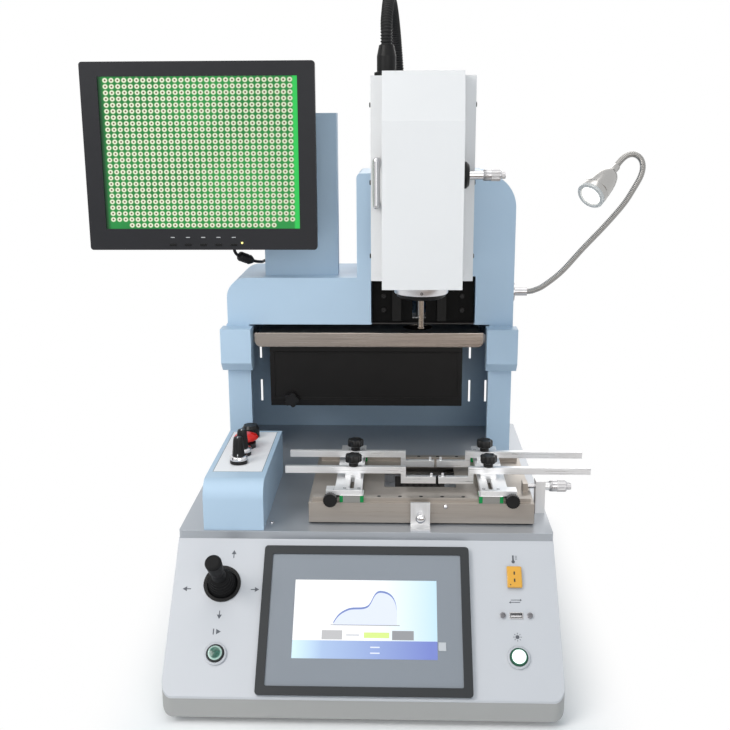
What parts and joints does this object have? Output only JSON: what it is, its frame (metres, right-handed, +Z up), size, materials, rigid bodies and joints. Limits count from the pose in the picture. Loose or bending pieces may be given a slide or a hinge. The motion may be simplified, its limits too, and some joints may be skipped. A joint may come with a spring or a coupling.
{
  "type": "ball grid array rework station",
  "caption": "Bench station for soldering chips: hot-air head with suction nozzle on a motor lift, optics drawer, sliding board holder, monitor, lamp and sloping touch panel.",
  "frame": {"origin": "on the table under the middle of the base", "axes": "+X to the operator's right, +Y to the rear, +Z up"},
  "size_m": [0.7195, 0.5455, 0.758],
  "materials": {
    "grey_paint": "satin powder coat",
    "panel_paint": "fine textured paint",
    "deck_steel": "satin",
    "blue_paint": "satin powder coat",
    "white_paint": "satin powder coat",
    "brushed_steel": "brushed",
    "bright_steel": "polished",
    "aluminium": "satin",
    "heater_iron": "matte",
    "dark_plastic": "fine grain",
    "black_plastic": "matte",
    "green_plastic": "gloss",
    "lit_plastic": "lit",
    "red_plastic": "gloss",
    "display": "flat display",
    "rubber": "matte"
  },
  "bodies": {
    "base": {"base_shell": "grey_paint", "front_panel": "panel_paint", "deck_plate": "deck_steel", "rubber_feet": "rubber", "electronics": "aluminium", "touch_panel_frame": "dark_plastic", "touch_panel_screen": "display", "joystick_housing": "black_plastic", "panel_fittings": "bright_steel", "control_pod": "blue_paint", "rear_portal": "blue_paint", "drawer_runners": "bright_steel", "upper_casing": "blue_paint", "casing_fittings": "black_plastic", "slide_plate": "black_plastic", "lift_drive": "bright_steel", "monitor_post": "blue_paint", "stage_base": "aluminium", "lower_heater": "heater_iron", "air_hose": "rubber", "monitor_lead": "rubber", "lead_connector": "rubber"},
    "joystick_yoke": {"joystick_yoke": "bright_steel"},
    "joystick_stick": {"joystick_stick": "rubber"},
    "start_button": {"start_button": "green_plastic"},
    "headlamp_button": {"headlamp_button": "lit_plastic"},
    "dimmer_knob_front": {"dimmer_knob_front": "black_plastic"},
    "dimmer_knob_rear": {"dimmer_knob_rear": "black_plastic"},
    "emergency_stop": {"emergency_stop": "red_plastic"},
    "pod_knob": {"pod_knob": "black_plastic"},
    "runner_middles": {"runner_middles": "bright_steel"},
    "drawer": {"drawer_tray": "brushed_steel", "optics_box": "black_plastic"},
    "drawer_knob": {"drawer_knob": "black_plastic"},
    "lift_screw": {"lift_screw": "bright_steel"},
    "motor_pulley": {"motor_pulley": "bright_steel"},
    "head": {"head_box": "white_paint", "head_cover": "white_paint", "head_fittings": "aluminium"},
    "nozzle": {"nozzle": "brushed_steel"},
    "head_thimble": {"head_thimble": "bright_steel"},
    "monitor": {"monitor_bezel": "dark_plastic", "monitor_back": "black_plastic", "monitor_screen": "display"},
    "lamp": {"gooseneck_lamp": "aluminium"},
    "stage": {"stage_box": "brushed_steel"},
    "stage_thimble": {"stage_thimble": "bright_steel"},
    "left_carriage": {"left_carriage": "aluminium"},
    "right_carriage": {"right_carriage": "aluminium"},
    "arm_front_left": {"arm_front_left": "aluminium"},
    "arm_front_right": {"arm_front_right": "aluminium"},
    "arm_rear_left": {"arm_rear_left": "aluminium"},
    "arm_rear_right": {"arm_rear_right": "aluminium"},
    "clamp_front_left": {"clamp_front_left": "black_plastic"},
    "clamp_front_right": {"clamp_front_right": "black_plastic"},
    "clamp_rear_left": {"clamp_rear_left": "black_plastic"},
    "clamp_rear_right": {"clamp_rear_right": "black_plastic"},
    "lock_knob_left": {"lock_knob_left": "black_plastic"},
    "lock_knob_right": {"lock_knob_right": "black_plastic"},
    "stage_lock_screw": {"stage_lock_screw": "bright_steel"}
  },
  "joints": [
    {"name": "joystick_fore_aft", "type": "hinge", "parent": "base", "child": "joystick_yoke", "pos_m": [-0.156, -0.17811, 0.11116], "axis": [1, 0, 0], "range_deg": [-12, 12], "stiffness_Nm_per_rad": 1},
    {"name": "joystick_left_right", "type": "hinge", "parent": "joystick_yoke", "child": "joystick_stick", "pos_m": [-0.156, -0.17811, 0.11116], "axis": [0, 0.7071, 0.7071], "range_deg": [-12, 12], "stiffness_Nm_per_rad": 1},
    {"name": "start_press", "type": "slide", "parent": "base", "child": "start_button", "axis": [0, 0.7071, -0.7071], "range_m": [0, 0.0025], "stiffness_N_per_m": 400, "springref_m": -0.001},
    {"name": "headlamp_press", "type": "slide", "parent": "base", "child": "headlamp_button", "axis": [0, 0.7071, -0.7071], "range_m": [0, 0.0025], "stiffness_N_per_m": 400, "springref_m": -0.001},
    {"name": "dimmer_front_turn", "type": "hinge", "parent": "base", "child": "dimmer_knob_front", "pos_m": [-0.151, -0.076, 0.22], "axis": [0, 0, 1], "range_deg": [-140, 140]},
    {"name": "dimmer_rear_turn", "type": "hinge", "parent": "base", "child": "dimmer_knob_rear", "pos_m": [-0.151, -0.046, 0.22], "axis": [0, 0, 1], "range_deg": [-140, 140]},
    {"name": "stop_press", "type": "slide", "parent": "base", "child": "emergency_stop", "axis": [0, 0, -1], "range_m": [0, 0.0035], "stiffness_N_per_m": 1500, "springref_m": -0.002},
    {"name": "pod_knob_turn", "type": "hinge", "parent": "base", "child": "pod_knob", "pos_m": [-0.151, 0.024, 0.22], "axis": [0, 0, 1], "range_deg": [-140, 140]},
    {"name": "optics_slide", "type": "slide", "parent": "base", "child": "drawer", "axis": [0, -1, 0], "range_m": [0, 0.188]},
    {"name": "runner_slide", "type": "slide", "parent": "base", "child": "runner_middles", "axis": [0, -1, 0], "range_m": [0, 0.094]},
    {"name": "drawer_knob_turn", "type": "hinge", "parent": "drawer", "child": "drawer_knob", "pos_m": [-0.107, 0.116, 0.246], "axis": [0, 1, 0], "continuous": true},
    {"name": "head_lift", "type": "slide", "parent": "base", "child": "head", "axis": [0, 0, 1], "range_m": [-0.158, 0]},
    {"name": "lift_screw_turn", "type": "hinge", "parent": "base", "child": "lift_screw", "pos_m": [0.064, 0.16, 0.45], "axis": [0, 0, 1], "range_deg": [-7200, 0]},
    {"name": "motor_pulley_turn", "type": "hinge", "parent": "base", "child": "motor_pulley", "pos_m": [0.114, 0.186, 0.54], "axis": [0, 0, 1], "range_deg": [-7200, 0]},
    {"name": "head_thimble_turn", "type": "hinge", "parent": "head", "child": "head_thimble", "pos_m": [0.13, -0.036, 0.551], "axis": [1, 0, 0], "range_deg": [-1800, 1800]},
    {"name": "nozzle_turn", "type": "hinge", "parent": "head", "child": "nozzle", "pos_m": [0.063, -0.036, 0.4], "axis": [0, 0, 1], "range_deg": [-5.8, 5.8]},
    {"name": "monitor_tilt", "type": "hinge", "parent": "base", "child": "monitor", "pos_m": [-0.215, 0.1385, 0.567], "axis": [-1, 0, 0], "range_deg": [0, 15]},
    {"name": "lamp_swing", "type": "hinge", "parent": "base", "child": "lamp", "pos_m": [0.1885, 0.149, 0.387], "axis": [1, 0, 0], "range_deg": [-30, 30]},
    {"name": "stage_slide", "type": "slide", "parent": "base", "child": "stage", "axis": [1, 0, 0], "range_m": [-0.005, 0.005]},
    {"name": "stage_thimble_turn", "type": "hinge", "parent": "stage", "child": "stage_thimble", "pos_m": [0.22, -0.079, 0.195], "axis": [1, 0, 0], "range_deg": [-3600, 3600]},
    {"name": "left_carriage_slide", "type": "slide", "parent": "stage", "child": "left_carriage", "axis": [1, 0, 0], "range_m": [-0.01, 0]},
    {"name": "right_carriage_slide", "type": "slide", "parent": "stage", "child": "right_carriage", "axis": [-1, 0, 0], "range_m": [-0.01, 0]},
    {"name": "arm_front_left_slide", "type": "slide", "parent": "left_carriage", "child": "arm_front_left", "axis": [0, 1, 0], "range_m": [-0.03, 0.012]},
    {"name": "arm_rear_left_slide", "type": "slide", "parent": "left_carriage", "child": "arm_rear_left", "axis": [0, 1, 0], "range_m": [-0.012, 0.03]},
    {"name": "arm_front_right_slide", "type": "slide", "parent": "right_carriage", "child": "arm_front_right", "axis": [0, 1, 0], "range_m": [-0.03, 0.012]},
    {"name": "arm_rear_right_slide", "type": "slide", "parent": "right_carriage", "child": "arm_rear_right", "axis": [0, 1, 0], "range_m": [-0.012, 0.03]},
    {"name": "clamp_front_left_turn", "type": "hinge", "parent": "arm_front_left", "child": "clamp_front_left", "pos_m": [-0.016, -0.076, 0.22], "axis": [0, 0, 1], "continuous": true},
    {"name": "clamp_front_right_turn", "type": "hinge", "parent": "arm_front_right", "child": "clamp_front_right", "pos_m": [0.142, -0.076, 0.22], "axis": [0, 0, 1], "continuous": true},
    {"name": "clamp_rear_left_turn", "type": "hinge", "parent": "arm_rear_left", "child": "clamp_rear_left", "pos_m": [-0.016, -0.018, 0.22], "axis": [0, 0, 1], "continuous": true},
    {"name": "clamp_rear_right_turn", "type": "hinge", "parent": "arm_rear_right", "child": "clamp_rear_right", "pos_m": [0.142, -0.018, 0.22], "axis": [0, 0, 1], "continuous": true},
    {"name": "lock_knob_left_turn", "type": "hinge", "parent": "left_carriage", "child": "lock_knob_left", "pos_m": [-0.04, -0.128, 0.1947], "axis": [0, 1, 0], "continuous": true},
    {"name": "lock_knob_right_turn", "type": "hinge", "parent": "right_carriage", "child": "lock_knob_right", "pos_m": [0.166, -0.128, 0.1947], "axis": [0, 1, 0], "continuous": true},
    {"name": "stage_lock_turn", "type": "hinge", "parent": "base", "child": "stage_lock_screw", "pos_m": [0.062, -0.135, 0.178], "axis": [0, 1, 0], "continuous": true}
  ],
  "couplings": [
    {"joint": "runner_slide", "follows": "optics_slide", "ratio": 0.5},
    {"joint": "lift_screw_turn", "follows": "head_lift", "rad_per_m": 785.4},
    {"joint": "motor_pulley_turn", "follows": "head_lift", "rad_per_m": 785.4},
    {"joint": "nozzle_turn", "follows": "head_thimble_turn", "ratio": 0.0032},
    {"joint": "stage_thimble_turn", "follows": "stage_slide", "rad_per_m": 12566}
  ]
}
